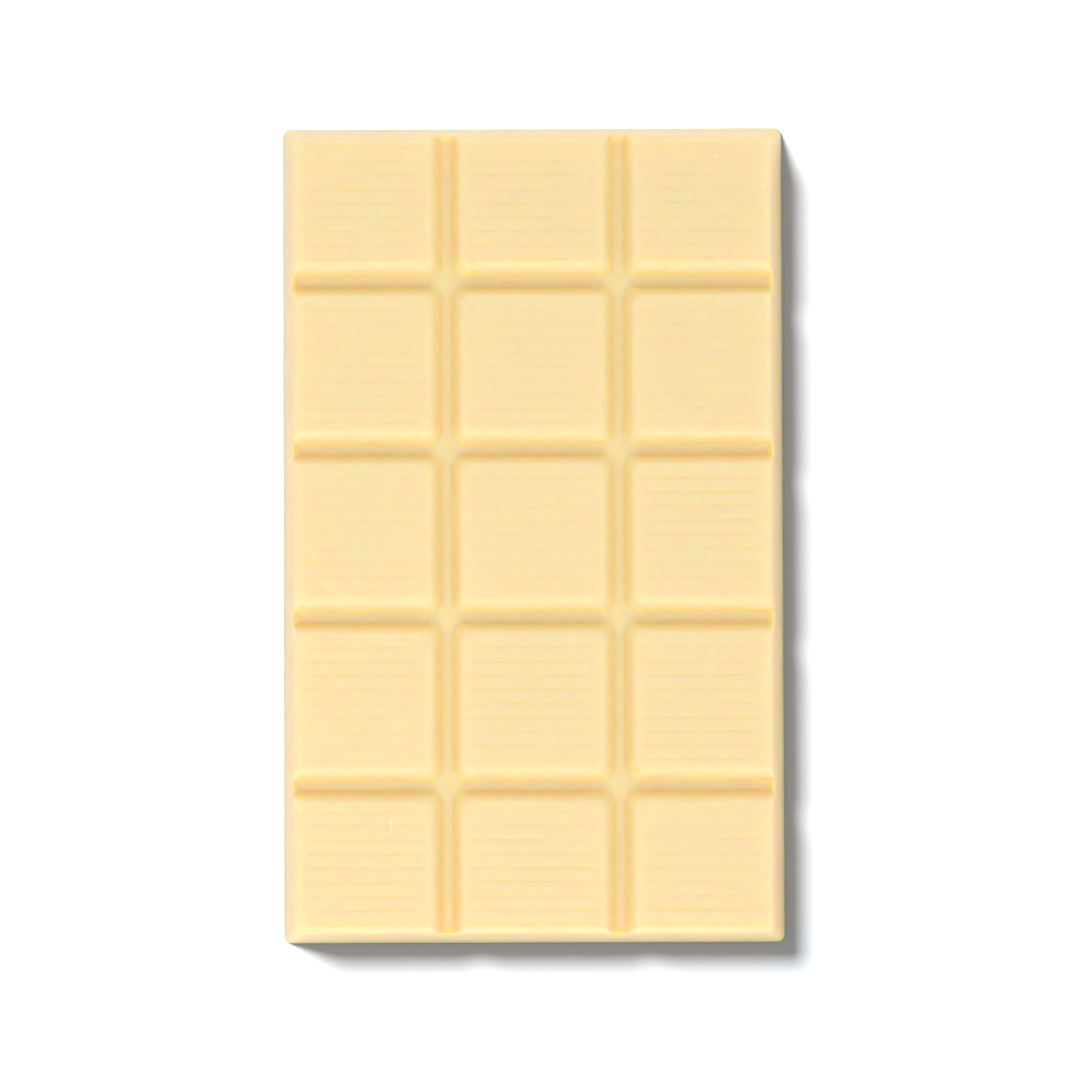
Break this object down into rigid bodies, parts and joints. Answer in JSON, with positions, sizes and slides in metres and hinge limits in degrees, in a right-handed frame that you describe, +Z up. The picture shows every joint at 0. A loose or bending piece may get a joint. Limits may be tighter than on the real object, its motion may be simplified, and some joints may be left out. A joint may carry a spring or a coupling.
{
  "type": "chocolate bar",
  "caption": "Flat moulded bar of white chocolate, scored by open grooves into a grid of rounded squares with fine engraved lines.",
  "frame": {"origin": "middle of the bar's flat back, on the surface that it lies on", "axes": "+Z up out of the moulded squares, +Y along the bar's long side, +X across it"},
  "size_m": [0.0738, 0.12, 0.008],
  "materials": {
    "white_chocolate": "smooth cast white chocolate, satin, cream yellow"
  },
  "bodies": {
    "root": {"chocolate_bar": "white_chocolate"}
  },
  "joints": []
}
